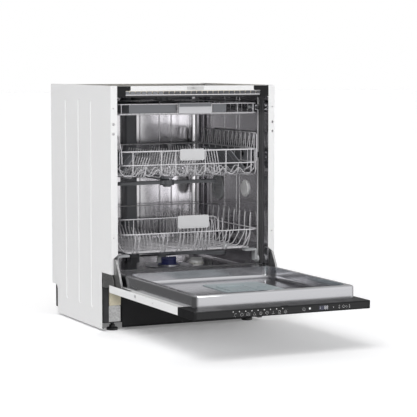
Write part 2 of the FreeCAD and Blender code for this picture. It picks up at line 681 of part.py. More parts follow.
def dispenser_body():
    """The detergent and rinse-aid dispenser set into the pan floor."""
    x, y = DISPENSER_X, DISPENSER_Y
    hx, hy = DISPENSER_HALF_X, DISPENSER_HALF_Y
    well = box(x - hx + 0.3, x + hx - 0.3, y - hy + 0.3, y + hy - 0.3, 141, 167)
    rim = box(x - hx - 5, x + hx + 5, y - hy - 5, y + hy + 5, 166.1, 168)
    rim = rounded(rim, 10, Z_AXIS)
    body = fused([well, rim])
    cup = box(x - 78, x + 8, y - 70, y + 22, 147, 170)
    cup = rounded(cup, 10, Z_AXIS)
    body = body.cut(cup)
    lid_seat = box(x - 84, x + 14, y - 76, y + 30.5, 165.5, 171)
    body = body.cut(lid_seat)
    body = body.cut(cylinder(17.0, vec(x + 52, y - 25, 152), vec(x + 52, y - 25, 172)))
    # two dark slots near the pan's front: the lid catch and the dosing window
    body = body.cut(box(x - 35, x + 32, y - 92, y - 83, 158, 172))
    body = body.cut(box(x + 40, x + 88, y - 92, y - 83, 158, 172))
    for sign in (-1, 1):
        ear_x = x - 35 + sign * 46
        ear = box(ear_x - 2, ear_x + 2, y + 23, y + 31, 164, 171.5)
        body = body.fuse(ear)
    body = body.cut(cylinder(1.55, vec(x - 90, y + 27, 169.4), vec(x + 20, y + 27, 169.4)))
    return body.removeSplitter()


def dispenser_lid():
    """The spring lid of the detergent cup, hinged along its rear edge."""
    x, y = DISPENSER_X, DISPENSER_Y
    plate = box(x - 78.5, x + 8.5, y - 74, y + 25, 166.2, 168.7)
    plate = rounded(plate, 6, Z_AXIS, lambda c: c.y < y)
    grip = box(x - 55, x - 15, y - 70, y - 64, 168.2, 170.4)
    barrel = cylinder(2.6, vec(x - 78.5, y + 27, 169.4), vec(x + 8.5, y + 27, 169.4))
    web = box(x - 78.5, x + 8.5, y + 22, y + 27, 166.8, 169.2)
    lid = fused([plate, grip, barrel, web])
    pin = cylinder(1.5, vec(x - 83, y + 27, 169.4), vec(x + 13, y + 27, 169.4))
    return lid.fuse(pin).removeSplitter()


def rinse_cap():
    """The quarter-turn cap of the rinse-aid tank."""
    x, y = DISPENSER_X + 52, DISPENSER_Y - 25
    cap = cylinder(16.5, vec(x, y, 163), vec(x, y, 168.6))
    grip = box(x - 14, x + 14, y - 2.5, y + 2.5, 168.2, 170.6)
    stem = cylinder(9, vec(x, y, 153), vec(x, y, 164))
    return fused([cap, grip, stem])


def control_housing():
    """The black control housing along the door's free edge."""
    y0, y1 = DOOR_FRONT + 1.2, HOUSING_BACK - 0.3
    shell = box(-DOOR_HALF, DOOR_HALF, y0, y1, DOOR_FACE, DOOR_DECK)
    shell = rounded(shell, 4, X_AXIS, lambda c: c.y < y0 + 1)
    wall = 2.6
    hollow = box(-DOOR_HALF + wall, DOOR_HALF - wall, y0 + wall, y1 - wall, DOOR_FACE + wall, DOOR_DECK - wall)
    shell = shell.cut(hollow)
    shell = shell.cut(box(-9, 17, -637.2, -627.4, DOOR_DECK - 8, DOOR_DECK + 2))
    return shell.cut(box(118, 150, y0 - 1, y0 + 3, 144, 157))


def control_fascia():
    """The glossy overlay on the housing's edge, with the touch keys printed under it."""
    strip = box(-292, 292, DOOR_FRONT, DOOR_FRONT + 1.1, 141.6, 159.6)
    strip = rounded(strip, 3, Y_AXIS)
    return strip.cut(box(118, 150, DOOR_FRONT - 1, DOOR_FRONT + 3, 144, 157))


def control_display():
    """The window of the two-digit display."""
    return box(118.2, 149.8, DOOR_FRONT + 0.2, DOOR_FRONT + 3.4, 144.2, 156.8)


def control_boards():
    """The two circuit boards behind the fascia, either side of the latch."""
    boards = []
    for x0, x1 in ((-230, -30), (40, 250)):
        board = [box(x0, x1, -634.2, -632.6, 142.5, 159.5)]
        board += [box(x, x + 18, -632.6, -629.5, 146, 154) for x in (x0 + 30, x1 - 60)]
        boards.append(fused(board))
    return group(boards)


def door_latch():
    """The latch in the housing that grips the striker's tongue."""
    body = box(-24, 32, -629, -560, 141, 160)
    jaw = box(-12, 20, -636.6, -629, 141, 152)
    return fused([body, jaw])


def hinge_arms():
    """Both door arms."""
    return group(hinge_arm(side) for side in SIDES)


def hinge_arm(side):
    """A channel arm bolted in the door, with the bore for its hinge pin."""
    outline = [(14, 152), (14, 236), (-6, 251.5), (-14, 248), (-40, 206), (-60, 163), (-132, 161), (-132, 141),
               (6, 141)]
    arm = prism_x(outline, side * 283, side * 290)
    pocket = [(30, 158), (30, 240), (-2, 246), (-10, 243), (-35, 204), (-56, 159), (-128, 157), (-128, 145),
              (2, 145)]
    arm = arm.cut(prism_x(pocket, side * 284.6, side * 288.4))
    bush = cylinder(7.5, vec(side * 283, PIVOT_Y, PIVOT_Z), vec(side * 290, PIVOT_Y, PIVOT_Z))
    arm = arm.fuse(bush)
    arm = arm.cut(cylinder(4.05, vec(side * 280, PIVOT_Y, PIVOT_Z), vec(side * 292, PIVOT_Y, PIVOT_Z)))
    return arm.removeSplitter()


# ---- racks ----
def rods(points, radius):
    """Straight rods of a wire from point to point, welded at the bends."""
    return [cylinder(radius, vec(*start), vec(*end)) for start, end in zip(points, points[1:])]


def hoop(half, y0, y1, z, radius, corner):
    """A closed wire hoop at one height, with its corners taken off."""
    c = corner
    return rods([(c - half, y0, z), (half - c, y0, z), (half, y0 + c, z), (half, y1 - c, z), (half - c, y1, z),
                 (c - half, y1, z), (-half, y1 - c, z), (-half, y0 + c, z), (c - half, y0, z)], radius)


def upper_basket():
    """The upper rack: two hoops, floor wires, tall leaning sides and rows of tines."""
    half, y0, y1 = UPPER_HALF, UPPER_FRONT, UPPER_BACK
    top, middle, low, rim = 598.0, 553.0, 510.0, 652.0
    wires = hoop(half, y0, y1, top, 2.6, 12)
    wires += hoop(half, y0, y1, middle, WIRE, 12)
    for n in range(11):
        x = -220 + n * 44
        wires += rods([(x, y0, top), (x, y0 + 6, low), (x, y1 - 6, low), (x, y1, top)], WIRE)
    inner, level = half - 14, low + 8.5
    for n in range(9):
        y = 50 + n * 51
        wires += rods([(-half, y, top), (-half, y, low + 24), (-inner, y, level), (inner, y, level),
                       (half, y, low + 24), (half, y, top)], TINE + 0.3)
    for x, lean, height in ((-165, 24, 70), (-62, 14, 78), (26, 14, 78), (118, -16, 92)):
        for n in range(13):
            y = 62 + n * 33
            wires.append(cylinder(TINE, vec(x, y, level), vec(x + lean, y, level + height)))
    for side in SIDES:
        flare = side * (half + 6)
        wires += rods([(side * half, y0 + 10, top), (flare, y0 + 14, rim - 16), (flare, y0 + 30, rim),
                       (flare, y1 - 30, rim), (side * half, y1 - 10, top)], WIRE)
        for n in range(13):
            y = 62 + n * 33
            wires.append(cylinder(TINE, vec(side * half, y, top), vec(flare, y, rim)))
        wires += rods([(side * half, 72, 540), (side * SHELF_X, 72, SHELF_Z), (side * SHELF_X, 424, SHELF_Z),
                       (side * half, 424, 540)], 2.25)
    return group(wires)


def rack_hangers():
    """The grey moulded plates that hang the upper rack on its runners."""
    plates = []
    for side in SIDES:
        plate = box(side * 251.5, side * 255.5, 90, 430, 545, 604)
        plate = rounded(plate, 10, X_AXIS)
        for y in (150, 260, 370):
            plate = plate.cut(cylinder(13, vec(side * 250, y, 575), vec(side * 258, y, 575)))
        bosses = [cylinder(4, vec(side * 255, y, 576), vec(side * 261.5, y, 576)) for y in (110, 205, 315, 410)]
        plates.append(fused([plate] + bosses))
    return group(plates)


def plate_handle(x0, x1, y, z0, z1):
    """A silver finger plate in front of a rack's wires at y, with a lip over the top wire."""
    plate = box(x0, x1, y - 5.8, y - 2.8, z0, z1)
    plate = rounded(plate, 7, Y_AXIS)
    grip = box(x0 + 8, x1 - 8, y - 6.6, y - 5, z0 + 5, z0 + 11)
    lip = box(x0 + 10, x1 - 10, y - 4, y + 5, z1 - 2.6, z1 - 0.2)
    return fused([plate, grip, lip])


def cup_shelf(side):
    """A fold-up cup shelf: a slotted plate on a rod low in the upper rack, raised at a slant."""
    y0, y1 = 78.0, 278.0
    hinge_x, z, length = side * SHELF_X, SHELF_Z, 88.0
    shelf = box(hinge_x - side * 3, hinge_x - side * length, y0, y1, z - 1.5, z + 1.5)
    shelf = rounded(shelf, 14, Z_AXIS, lambda c: abs(c.x) < SHELF_X - 50)
    for n in range(4):
        y = y0 + 37 + n * 42
        shelf = shelf.cut(box(hinge_x - side * 20, hinge_x - side * 72, y - 3, y + 3, z - 5, z + 3))
    barrel = cylinder(5, vec(hinge_x, y0 + 10, z), vec(hinge_x, y1 - 10, z))
    web = box(hinge_x, hinge_x - side * 6, y0 + 10, y1 - 10, z - 1.5, z + 1.5)
    solid = fused([shelf, barrel, web])
    solid = solid.cut(cylinder(2.3, vec(hinge_x, y0 - 5, z), vec(hinge_x, y1 + 5, z)))
    solid.rotate(vec(hinge_x, 0, z), Y_AXIS, side * SHELF_TILT)
    return solid


def spray_duct():
    """The duct under the upper rack that brings water to its spray arm."""
    x, y = ARM_UPPER
    hub = cylinder(21, vec(x, y, 492.5), vec(x, y, 503))
    run = box(x - 13, x + 13, y, 492, 486, 501)
    mouth = cylinder(15, vec(0, 480, 492), vec(0, 497.5, 492))
    post = cylinder(8, vec(x, y, 468), vec(x, y, 494))
    cap = cylinder(14, vec(x, y, 464), vec(x, y, 468.5))
    clips = [box(x - 3, x + 3, c - 4, c + 4, 500, 507.7) for c in (300, 400)]
    run = run.cut(cylinder(30, vec(x, y, 484), vec(x, y, 492.4)))
    return fused([hub, run, mouth, post, cap] + clips)


def lower_basket():
    """The lower rack: a flared wire basket on a flat floor grid, open over its right side."""
    y0, y1 = LOWER_FRONT, 492.0
    top, middle, low = 377.0, 326.0, 258.0
    half, foot = 252.0, 224.0
    foot_y0, foot_y1 = 42.0, 464.0
    wires = hoop(half - 3, y0, y1, middle, WIRE, 22)
    wires += rods([(-half + 20, y1, top), (-half, y1 - 22, top), (-half, y0 + 22, top), (-half + 20, y0, top),
                   (82, y0, top), (94, y0, top - 12), (94, y0, middle)], WIRE)
    wires += rods([(-half + 20, y1, top), (half - 20, y1, top), (half, y1 - 22, top),
                   (half, y1 - 90, top)], WIRE)
    for x in (-212, -52, 52):
        wires.append(cylinder(TINE + 0.3, vec(x, y0, middle), vec(x, y0, top)))
    for x in (-212, 0, 212):
        wires.append(cylinder(TINE + 0.3, vec(x, y1, middle), vec(x, y1, top)))
    for n in range(12):
        x = -220 + n * 40
        wires += rods([(x, y0, middle), (x, foot_y0, low), (x, foot_y1, low), (x, y1, middle)], WIRE)
    for n in range(9):
        y = 84 + n * 42.0
        wires += rods([(-half, y, top), (-half + 3, y, middle - 22), (-foot, y, low + 3.8),
                       (foot, y, low + 3.8), (half - 3, y, middle - 22), (half, y, top)], WIRE)
    for x, height in ((-178, 64), (-134, 64), (-90, 64), (52, 104), (96, 104)):
        for n in range(14):
            y = 54 + n * 29
            wires.append(cylinder(TINE, vec(x, y, low + 3), vec(x - 6, y, low + height)))
    return group(wires)


def fold_tines():
    """A row of plate tines that folds down on its own rod."""
    z = 270.5
    x = FOLD_ROW
    row = cylinder(2.3, vec(x, 50, z), vec(x, 456, z))
    tines = [cylinder(TINE, vec(x, 68.5 + n * 29, z), vec(x - 5, 68.5 + n * 29, z + 94)) for n in range(13)]
    return fused([row] + tines)


def rack_wheels(y):
    """A pair of rollers on one axis, one each side of the lower rack."""
    z = LEDGE + 0.7 + WHEEL_RADIUS
    wheels = []
    for side in SIDES:
        tread = cylinder(WHEEL_RADIUS, vec(side * 260, y, z), vec(side * 267.5, y, z))
        flange = cylinder(WHEEL_RADIUS - 3, vec(side * 257.6, y, z), vec(side * 260, y, z))
        wheel = fused([tread, flange])
        for turn in range(5):
            angle = math.radians(72 * turn)
            hole = vec(0, y + 8.6 * math.cos(angle), z + 8.6 * math.sin(angle))
            wheel = wheel.cut(cylinder(1.6, vec(side * 255, hole.y, hole.z), vec(side * 270, hole.y, hole.z)))
        wheel = wheel.cut(cylinder(3.05, vec(side * 255, y, z), vec(side * 270, y, z)))
        wheels.append(wheel)
    return group(wheels)


def lower_rack_clips():
    """Moulded clips under the lower rack: four carry the rollers, three the folding row."""
    z = LEDGE + 0.7 + WHEEL_RADIUS
    clips = []
    for side in SIDES:
        for y in WHEEL_ROWS:
            axle = cylinder(3.0, vec(side * 252, y, z), vec(side * 269, y, z))
            head = cylinder(5.0, vec(side * 267.9, y, z), vec(side * 269.7, y, z))
            plate = box(side * 252, side * 257.2, y - 14, y + 14, z - 6, 254)
            plate = rounded(plate, 5, X_AXIS)
            bridge = box(side * 214, side * 257.2, y - 14, y + 14, 249, 255.6)
            clips.append(fused([axle, head, plate, bridge]))
    for y in (54.0, 228.0, 445.0):
        clip = box(FOLD_ROW - 6, FOLD_ROW + 6, y - 4, y + 4, 260.5, 277)
        clip = rounded(clip, 2, Y_AXIS)
        rod_hole = cylinder(2.38, vec(FOLD_ROW, y - 8, 270.5), vec(FOLD_ROW, y + 8, 270.5))
        clips.append(clip.cut(rod_hole))
    return group(clips)


def tray_frame():
    """The cutlery tray's wire frame."""
    half, y0, y1 = 252.0, TRAY_FRONT, 484.0
    low, high = 721.0, 753.0
    wires = hoop(half, y0, y1, high, WIRE, 7) + hoop(half, y0, y1, low, WIRE, 7)
    for x in (-243, -42, 86, 182, 240):
        wires.append(cylinder(TINE, vec(x, y0, low), vec(x, y0, high)))
        wires.append(cylinder(TINE, vec(x, y1, low), vec(x, y1, high)))
    for n in range(10):
        y = 66 + n * 44
        wires.append(cylinder(TINE, vec(-half, y, low - 3.2), vec(half, y, low - 3.2)))
    for x in (-200, -120, -40, 40, 120, 200):
        wires.append(cylinder(TINE, vec(x, y0, low - 0.6), vec(x, y1, low - 0.6)))
    for side in SIDES:
        for y in (100, 430):
            wires.append(cylinder(5.8, vec(side * 250, y, 738), vec(side * 256, y, 738)))
            wires.append(cylinder(2.5, vec(side * 248, y, 738), vec(side * 269, y, 738)))
            wires.append(cylinder(5.2, vec(side * 259.5, y, 738), vec(side * 269, y, 738)))
            wires.append(box(side * 247.5, side * 250.5, y - 8, y + 8, 721, 754))
    return group(wires)


def tray_inserts():
    """Two troughs with combs that stand the cutlery apart."""
    parts = []
    y0, y1 = TRAY_FRONT + 3.0, 480.0
    for x0, x1 in TROUGHS:
        parts.append(box(x0, x1, y0, y1, 723.6, 726.0))
        parts += [box(x0, x0 + 2.5, y0, y1, 726.0, 752.0), box(x1 - 2.5, x1, y0, y1, 726.0, 752.0)]
        parts += [box(x0 + 2.5, x1 - 2.5, y0, y0 + 2.5, 726.0, 752.0)]
        parts += [box(x0 + 2.5, x1 - 2.5, y1 - 2.5, y1, 726.0, 752.0)]
        for n in range(12):
            y = 76 + n * 33
            parts.append(box(x0 + 2.5, x1 - 2.5, y, y + 1.6, 726.0, 740.0))
    return group(parts)


def tray_handle():
    """The tray's two-tone pull handle."""
    y = TRAY_FRONT
    plate = box(-39, 83, y - 6.6, y - 2.6, 722, 756)
    plate = rounded(plate, 4, Y_AXIS)
    ridge = box(-36, 80, y - 7.0, y - 6.0, 742, 754)
    return fused([plate, ridge])


def main():
    os.makedirs("parts", exist_ok=True)
    for side, name in ((-1, "left"), (1, "right")):
        export("side_panel_" + name, side_panel(side))
        export("cup_shelf_" + name, cup_shelf(side))
    for name, (x, y) in zip(("foot_front_left", "foot_front_right", "foot_rear"), FEET):
        export(name, foot(x, y))
    for name, y in zip(("rack_wheels_front", "rack_wheels_rear"), WHEEL_ROWS):
        export(name, rack_wheels(y))
    export("lower_spray_arm", spray_arm(ARM_LOWER, 227, 222, -28, 8.06))
    export("upper_spray_arm", spray_arm(ARM_UPPER, 474, 190, 2, 8.06))
    export("ceiling_spray_arm", spray_arm(ARM_CEILING, 763, 120, 8, 5.06))
    export("upper_handle", plate_handle(-45, 45, UPPER_FRONT, 566, 604))
    export("lower_handle", plate_handle(-57, 57, LOWER_FRONT, 340, 383))
    pieces = (
        top_rails, corner_brackets, latch_striker, tub, insulation_mats, door_seals,
        base_tray, plinth_panel, steel_brackets, sump, filter_plate, filter_cup,
        circulation_pump, drain_pump, water_softener, salt_cap, hose_stubs, mains_inlet,
        air_break_chamber, wall_vent_cap, wall_vent_grille, feed_tube, lower_arm_post,
        rack_rails, rack_runners, door_outer_panel, door_insulation, door_liner, hinge_arms,
        dispenser_body, dispenser_lid, rinse_cap, control_housing, control_fascia,
        control_display, control_boards, door_latch, upper_basket, rack_hangers, spray_duct,
        lower_basket, fold_tines, lower_rack_clips, tray_frame, tray_inserts, tray_handle,
    )
    for make in pieces:
        export(make.__name__, make())


main()
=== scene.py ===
import json
import math

import bpy
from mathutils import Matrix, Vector


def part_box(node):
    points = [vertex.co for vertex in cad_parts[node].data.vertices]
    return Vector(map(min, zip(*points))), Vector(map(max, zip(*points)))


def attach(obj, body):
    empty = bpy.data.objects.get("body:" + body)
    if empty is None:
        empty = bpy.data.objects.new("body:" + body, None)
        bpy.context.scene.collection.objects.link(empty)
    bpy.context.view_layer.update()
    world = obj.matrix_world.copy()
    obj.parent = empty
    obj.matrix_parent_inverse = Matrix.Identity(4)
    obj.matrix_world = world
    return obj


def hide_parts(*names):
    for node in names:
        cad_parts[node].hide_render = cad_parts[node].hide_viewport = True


# The looks of a 60 cm built-in dishwasher, standing open on a pale studio floor.
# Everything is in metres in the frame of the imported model: +X to the right, +Y into the cabinet.

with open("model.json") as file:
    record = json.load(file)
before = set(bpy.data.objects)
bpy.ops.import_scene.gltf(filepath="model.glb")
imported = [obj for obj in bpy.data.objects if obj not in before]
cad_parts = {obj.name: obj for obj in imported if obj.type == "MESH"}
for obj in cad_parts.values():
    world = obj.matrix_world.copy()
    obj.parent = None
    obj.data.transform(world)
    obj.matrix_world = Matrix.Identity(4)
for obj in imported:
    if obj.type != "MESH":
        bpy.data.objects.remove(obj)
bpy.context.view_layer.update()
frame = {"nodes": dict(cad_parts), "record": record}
NODES = frame["nodes"]
MM = 0.001
FLANGE_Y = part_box("side_panel_left")[0][1]


def at(x, y, z):
    """A place given in millimetres from the middle of the front flange's foot, in the frame's metres."""
    return Vector((x * MM, FLANGE_Y + y * MM, z * MM))


# ---- camera, light and floor ----
DOME = 0.50         # even light of the studio on lit surfaces
FLOOR_LIFT = 0.17   # paleness of the floor where the camera sees it


def make_camera():
    data = bpy.data.cameras.new("camera")
    data.lens = 144.7
    data.sensor_width = 36.0
    camera = bpy.data.objects.new("camera", data)
    camera.location = (-2.3411, -4.9984, 0.8971)
    camera.rotation_euler = (math.radians(84.95), 0.0, math.radians(-25.4))
    bpy.context.scene.collection.objects.link(camera)
    bpy.context.scene.camera = camera


def area_light(name, place, aim, size, watts, lights="diffuse"):
    """A soft light that shows either in lit surfaces or in mirrored ones."""
    data = bpy.data.lights.new(name, "AREA")
    data.shape = "RECTANGLE"
    data.size, data.size_y = size
    data.energy = watts
    light = bpy.data.objects.new(name, data)
    light.location = place
    light.rotation_euler = (Vector(aim) - Vector(place)).to_track_quat("-Z", "Y").to_euler()
    light.visible_camera = False
    light.visible_glossy = lights == "glossy"
    light.visible_diffuse = lights == "diffuse"
    bpy.context.scene.collection.objects.link(light)


def sun_light(name, direction, strength, spread):
    """An even, soft-edged key light shining from the given direction, spread in degrees."""
    data = bpy.data.lights.new(name, "SUN")
    data.energy = strength
    data.angle = math.radians(spread)
    light = bpy.data.objects.new(name, data)
    light.rotation_euler = (-Vector(direction)).to_track_quat("-Z", "Y").to_euler()
    light.visible_camera = False
    light.visible_glossy = False
    bpy.context.scene.collection.objects.link(light)


def make_world():
    """White behind the object; in reflections a studio that is bright to the front right."""
    world = bpy.data.worlds.new("studio")
    world.use_nodes = True
    bpy.context.scene.world = world
    nodes, links = world.node_tree.nodes, world.node_tree.links
    nodes.clear()

    def math_node(operation, first, second):
        node = nodes.new("ShaderNodeMath")
        node.operation = operation
        for socket, value in zip(node.inputs, (first, second)):
            if isinstance(value, (int, float)):
                socket.default_value = value
            else:
                links.new(value, socket)
        return node.outputs[0]

    sight = nodes.new("ShaderNodeTexCoord")
    lobes = []
    for direction, sharpness, gain in (((0.62, -0.78, 0.05), 2.2, 1.05), ((0.75, 0.60, 0.15), 1.6, 0.30),
                                       ((0.0, 0.0, 1.0), 1.5, 0.55)):
        dot = nodes.new("ShaderNodeVectorMath")
        dot.operation = "DOT_PRODUCT"
        links.new(sight.outputs["Generated"], dot.inputs[0])
        dot.inputs[1].default_value = Vector(direction).normalized()
        facing = math_node("MAXIMUM", dot.outputs["Value"], 0.0)
        lobes.append(math_node("MULTIPLY", math_node("POWER", facing, sharpness), gain))
    glow = math_node("ADD", math_node("ADD", lobes[0], lobes[1]), math_node("ADD", lobes[2], 0.13))
    path = nodes.new("ShaderNodeLightPath")
    diffuse = math_node("MULTIPLY", path.outputs["Is Diffuse Ray"], DOME)
    mirror = math_node("MULTIPLY", math_node("SUBTRACT", 1.0, path.outputs["Is Diffuse Ray"]), glow)
    studio = math_node("ADD", diffuse, mirror)
    seen = math_node("MAXIMUM", path.outputs["Is Camera Ray"], studio)
    background = nodes.new("ShaderNodeBackground")
    background.inputs["Color"].default_value = (1.0, 1.0, 1.0, 1.0)
    links.new(seen, background.inputs["Strength"])
    output = nodes.new("ShaderNodeOutputWorld")
    links.new(background.outputs[0], output.inputs[0])


def make_studio():
    scene = bpy.context.scene
    scene.view_settings.view_transform = "Standard"
    make_camera()
    make_world()
    sun_light("key", (-0.6, -0.62, 1.0), 1.75, 30.0)
    area_light("front_softbox", (-1.9, -3.4, 1.5), (0.0, 0.1, 0.45), (1.8, 1.6), 22.0)
    area_light("wall_card", at(-195, -750, 500), at(-195, 0, 500), (0.17, 0.55), 0.75, "glossy")
    floor = mesh_piece("floor", [(-40, -40, 0), (40, -40, 0), (40, 40, 0), (-40, 40, 0)], [(0, 1, 2, 3)])
    paint = material("floor_paint", (0.93, 0.93, 0.94), 0.9, spread=0.004)
    nodes, links = paint.node_tree.nodes, paint.node_tree.links
    path, lift = nodes.new("ShaderNodeLightPath"), nodes.new("ShaderNodeMath")
    lift.operation = "MULTIPLY"
    lift.inputs[1].default_value = FLOOR_LIFT
    links.new(path.outputs["Is Camera Ray"], lift.inputs[0])
    links.new(lift.outputs[0], nodes["Principled BSDF"].inputs["Emission Strength"])
    nodes["Principled BSDF"].inputs["Emission Color"].default_value = (1.0, 1.0, 1.0, 1.0)
    floor.data.materials.append(paint)
    floor.visible_glossy = False


# ---- mesh helpers ----
def mesh_piece(name, points, faces, smooth=False):
    """A mesh object made from points and faces."""
    mesh = bpy.data.meshes.new(name)
    mesh.from_pydata([tuple(p) for p in points], [], faces)
    mesh.polygons.foreach_set("use_smooth", [smooth] * len(mesh.polygons))
    piece = bpy.data.objects.new(name, mesh)
    bpy.context.scene.collection.objects.link(piece)
    return piece


def boxes_piece(name, boxes, body, slot):
    """Small rectangular blocks in one mesh, each from its low corner to its high corner."""
    points, faces = [], []
    for low, high in boxes:
        base = len(points)
        for x in (low[0], high[0]):
            for y in (low[1], high[1]):
                for z in (low[2], high[2]):
                    points.append((x, y, z))
        for face in ((0, 1, 3, 2), (4, 6, 7, 5), (0, 4, 5, 1), (2, 3, 7, 6), (0, 2, 6, 4), (1, 5, 7, 3)):
            faces.append([base + corner for corner in face])
    return dressed(mesh_piece(name, points, faces), body, slot)


def dressed(piece, body, slot):
    """Put a finished piece on its body, with the surface of its slot."""
    piece.data.materials.append(SURFACES[slot])
    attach(piece, body)
    return piece


def bent(points, bend, closed=False, steps=4):
    """The corners of a wire's route turned into short curves."""
    points = [Vector(p) for p in points]
    count = len(points)
    route = []
    for n, corner in enumerate(points):
        if not closed and n in (0, count - 1):
            route.append(corner)
            continue
        before, after = points[n - 1] - corner, points[(n + 1) % count] - corner
        reach = min(bend, 0.48 * before.length, 0.48 * after.length)
        start, end = corner + before.normalized() * reach, corner + after.normalized() * reach
        for step in range(steps + 1):
            t = step / steps
            route.append(start * (1 - t) ** 2 + corner * 2 * t * (1 - t) + end * t * t)
    return route


def wires_piece(name, runs, body, slot):
    """Round wires in one curve object: each run is (points in mm, radius in mm, bend in mm, closed)."""
    data = bpy.data.curves.new(name, "CURVE")
    data.dimensions = "3D"
    data.bevel_depth = MM
    data.bevel_resolution = 2
    data.use_fill_caps = True
    for points, radius, bend, closed in runs:
        route = bent(points, bend, closed)
        spline = data.splines.new("POLY")
        spline.points.add(len(route) - 1)
        for point, place in zip(spline.points, route):
            point.co = (*at(*place), 1.0)
            point.radius = radius
        spline.use_cyclic_u = closed
    piece = bpy.data.objects.new(name, data)
    bpy.context.scene.collection.objects.link(piece)
    return dressed(piece, body, slot)


def lathe(centre, axis, profile, sides=40):
    """Points and faces of a turned form: profile is a list of (radius, along) in mm."""
    axis = Vector(axis).normalized()
    across = axis.orthogonal().normalized()
    up = axis.cross(across)
    points, faces = [], []
    for radius, along in profile:
        for n in range(sides):
            turn = math.tau * n / sides
            spoke = across * math.cos(turn) + up * math.sin(turn)
            points.append(at(*centre) + (axis * along + spoke * radius) * MM)
    for ring in range(len(profile) - 1):
        for n in range(sides):
            a, b = ring * sides + n, ring * sides + (n + 1) % sides
            faces.append((a, b, b + sides, a + sides))
    faces.append(tuple(range(sides))[::-1])
    faces.append(tuple(range(len(points) - sides, len(points))))
    return points, faces


def lathes_piece(name, forms, body, slot):
    """Several turned forms in one mesh."""
    points, faces = [], []
    for form_points, form_faces in forms:
        base = len(points)
        points += form_points
        faces += [[base + n for n in face] for face in form_faces]
    piece = mesh_piece(name, points, faces, smooth=True)
    piece.data.set_sharp_from_angle(angle=math.radians(35))
    return dressed(piece, body, slot)


# ---- materials ----
def material(name, color, roughness, metallic=0.0, spread=0.05, patch=6.0, grain=900.0, relief=0.00002,
             stretch=(1.0, 1.0, 1.0), rough_spread=0.05, coat=0.0, alpha=1.0, sheen=0.0, specular=0.5,
             pattern="noise"):
    """A procedural surface: patchy colour, uneven roughness and a fine relief."""
    made = bpy.data.materials.new(name)
    made.use_nodes = True
    nodes, links = made.node_tree.nodes, made.node_tree.links
    shader = nodes["Principled BSDF"]
    shader.inputs["Metallic"].default_value = metallic
    shader.inputs["Coat Weight"].default_value = coat
    shader.inputs["Coat Roughness"].default_value = 0.08
    shader.inputs["Sheen Weight"].default_value = sheen
    shader.inputs["Specular IOR Level"].default_value = specular
    shader.inputs["Alpha"].default_value = alpha

    place = nodes.new("ShaderNodeTexCoord")
    mapping = nodes.new("ShaderNodeMapping")
    mapping.inputs["Scale"].default_value = stretch
    links.new(place.outputs["Object"], mapping.inputs["Vector"])

    def noise(scale, detail):
        node = nodes.new("ShaderNodeTexNoise")
        node.inputs["Scale"].default_value = scale
        node.inputs["Detail"].default_value = detail
        links.new(mapping.outputs["Vector"], node.inputs["Vector"])
        return node.outputs["Fac"]

    broad = noise(patch, 4.0)
    if pattern == "spangle":
        cells = nodes.new("ShaderNodeTexVoronoi")
        cells.inputs["Scale"].default_value = patch
        links.new(mapping.outputs["Vector"], cells.inputs["Vector"])
        broad = cells.outputs["Distance"]
    ramp = nodes.new("ShaderNodeMix")
    ramp.data_type = "RGBA"
    ramp.inputs["A"].default_value = (*[c * (1 - spread) for c in color], 1.0)
    ramp.inputs["B"].default_value = (*[min(1.0, c * (1 + spread)) for c in color], 1.0)
    links.new(broad, ramp.inputs["Factor"])
    links.new(ramp.outputs["Result"], shader.inputs["Base Color"])

    fine = noise(grain, 3.0)
    uneven = nodes.new("ShaderNodeMapRange")
    uneven.inputs["From Min"].default_value = 0.3
    uneven.inputs["From Max"].default_value = 0.7
    uneven.inputs["To Min"].default_value = max(0.02, roughness - rough_spread)
    uneven.inputs["To Max"].default_value = min(1.0, roughness + rough_spread)
    links.new(noise(patch * 5, 3.0), uneven.inputs["Value"])
    links.new(uneven.outputs["Result"], shader.inputs["Roughness"])

    bump = nodes.new("ShaderNodeBump")
    bump.inputs["Strength"].default_value = 0.5
    bump.inputs["Distance"].default_value = relief
    links.new(fine, bump.inputs["Height"])
    links.new(bump.outputs["Normal"], shader.inputs["Normal"])
    return made


